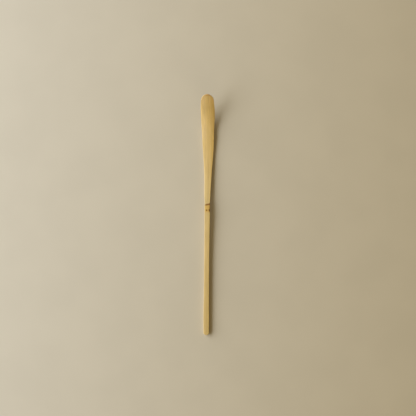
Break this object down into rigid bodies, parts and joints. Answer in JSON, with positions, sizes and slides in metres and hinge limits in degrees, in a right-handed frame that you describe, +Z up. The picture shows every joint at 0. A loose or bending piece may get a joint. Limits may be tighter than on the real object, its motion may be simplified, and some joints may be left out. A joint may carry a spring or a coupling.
{
  "type": "tea scoop",
  "caption": "Slender bamboo tea scoop: square shaft, swollen node, widening crowned blade, heat-bent tip with a rounded nose.",
  "frame": {"origin": "bottom centre of the scoop's box, on the surface that it rests on", "axes": "+Y along the strip from the tail to the raised tip, +X to the right of the front face, +Z up out of the front face"},
  "size_m": [0.0102, 0.1756, 0.0183],
  "materials": {
    "bamboo": "natural pale straw skin, satin, brown at the node rings and slightly toasted at the bend"
  },
  "bodies": {
    "root": {"scoop": "bamboo"}
  },
  "joints": []
}
